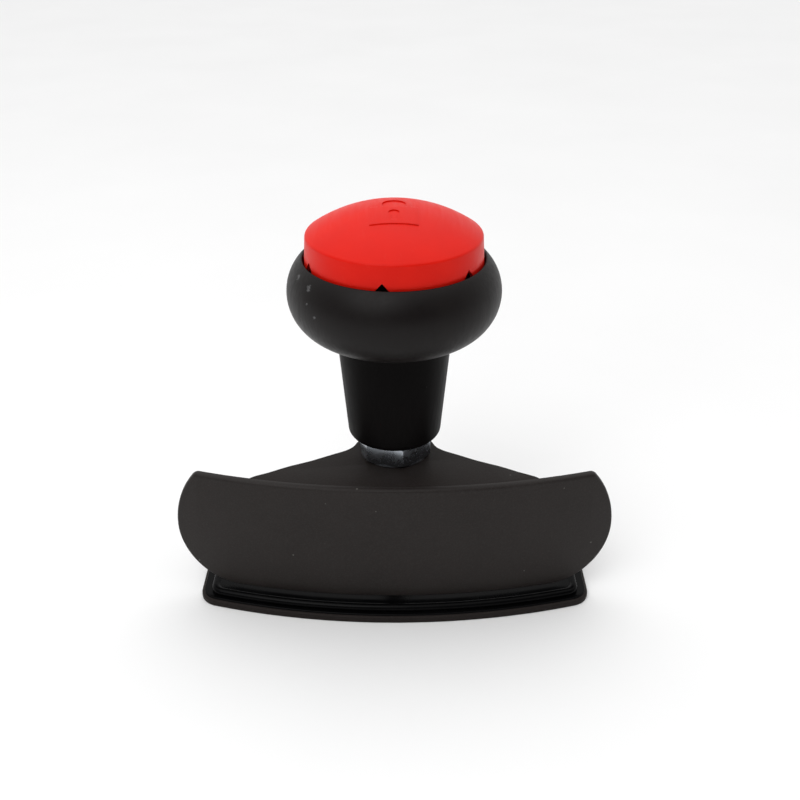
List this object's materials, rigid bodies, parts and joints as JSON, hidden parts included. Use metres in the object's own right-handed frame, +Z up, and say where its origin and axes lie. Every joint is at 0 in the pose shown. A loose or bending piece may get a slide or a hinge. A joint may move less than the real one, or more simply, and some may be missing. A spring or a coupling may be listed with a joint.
{
  "type": "steering wheel lock",
  "caption": "Two-jaw steering wheel lock: a bowed guard plate over a flat lower jaw, closed by pushing a black palm knob with a red key cap.",
  "frame": {"origin": "on the knob's axis, in the underside of the lower plate", "axes": "+Z up along the stem and the knob, +X along the guard, -Y out of the guard's front face"},
  "size_m": [0.2036, 0.0934, 0.1869],
  "materials": {
    "guard_paint": "black powder coat, fine grain, satin",
    "gloss_rubber": "smooth glossy moulded rubber",
    "black_plastic": "satin moulded plastic",
    "red_plastic": "satin moulded red plastic",
    "zinc_steel": "bright zinc plate",
    "hardened_steel": "ground and hardened",
    "black_steel": "black oxide",
    "spring_steel": "drawn wire",
    "brass": "turned",
    "nickel_brass": "nickel plated, turned"
  },
  "bodies": {
    "lower_jaw": {"lower_plate": "guard_paint", "jaw_pad": "gloss_rubber", "stem": "hardened_steel", "stem_screw": "black_steel", "stem_dowels": "hardened_steel"},
    "upper_body": {"top_plate": "guard_paint", "front_shield": "guard_paint", "weld_beads": "guard_paint", "stud_tube": "hardened_steel", "guide_pin": "hardened_steel", "nut_washer": "black_steel", "hex_nut": "zinc_steel", "neck_sleeve": "black_plastic", "lock_housing": "hardened_steel", "knob_head": "black_plastic", "head_screws": "black_steel", "cylinder_body": "brass", "driver_pins": "brass", "driver_springs": "spring_steel", "anti_drill_disc": "hardened_steel"},
    "cap": {"cap_shell": "red_plastic", "cap_emblem": "red_plastic"},
    "key_plug": {"plug": "nickel_brass", "key_pins": "brass", "cam_disc": "hardened_steel", "cam_screws": "black_steel"},
    "lock_bolt": {"locking_slide": "hardened_steel"}
  },
  "joints": [
    {"name": "body_lift", "type": "slide", "parent": "lower_jaw", "child": "upper_body", "axis": [0, 0, 1], "range_m": [0, 0.06]},
    {"name": "cap_pull", "type": "slide", "parent": "upper_body", "child": "cap", "axis": [0, 0, 1], "range_m": [0, 0.03]},
    {"name": "key_turn", "type": "hinge", "parent": "upper_body", "child": "key_plug", "pos_m": [0, 0, 0.14], "axis": [0, 0, 1], "range_deg": [0, 90]},
    {"name": "bolt_slide", "type": "slide", "parent": "upper_body", "child": "lock_bolt", "axis": [-1, 0, 0], "range_m": [0, 0.0028]}
  ],
  "couplings": [
    {"joint": "bolt_slide", "follows": "key_turn", "m_per_rad": 0.0017824}
  ]
}
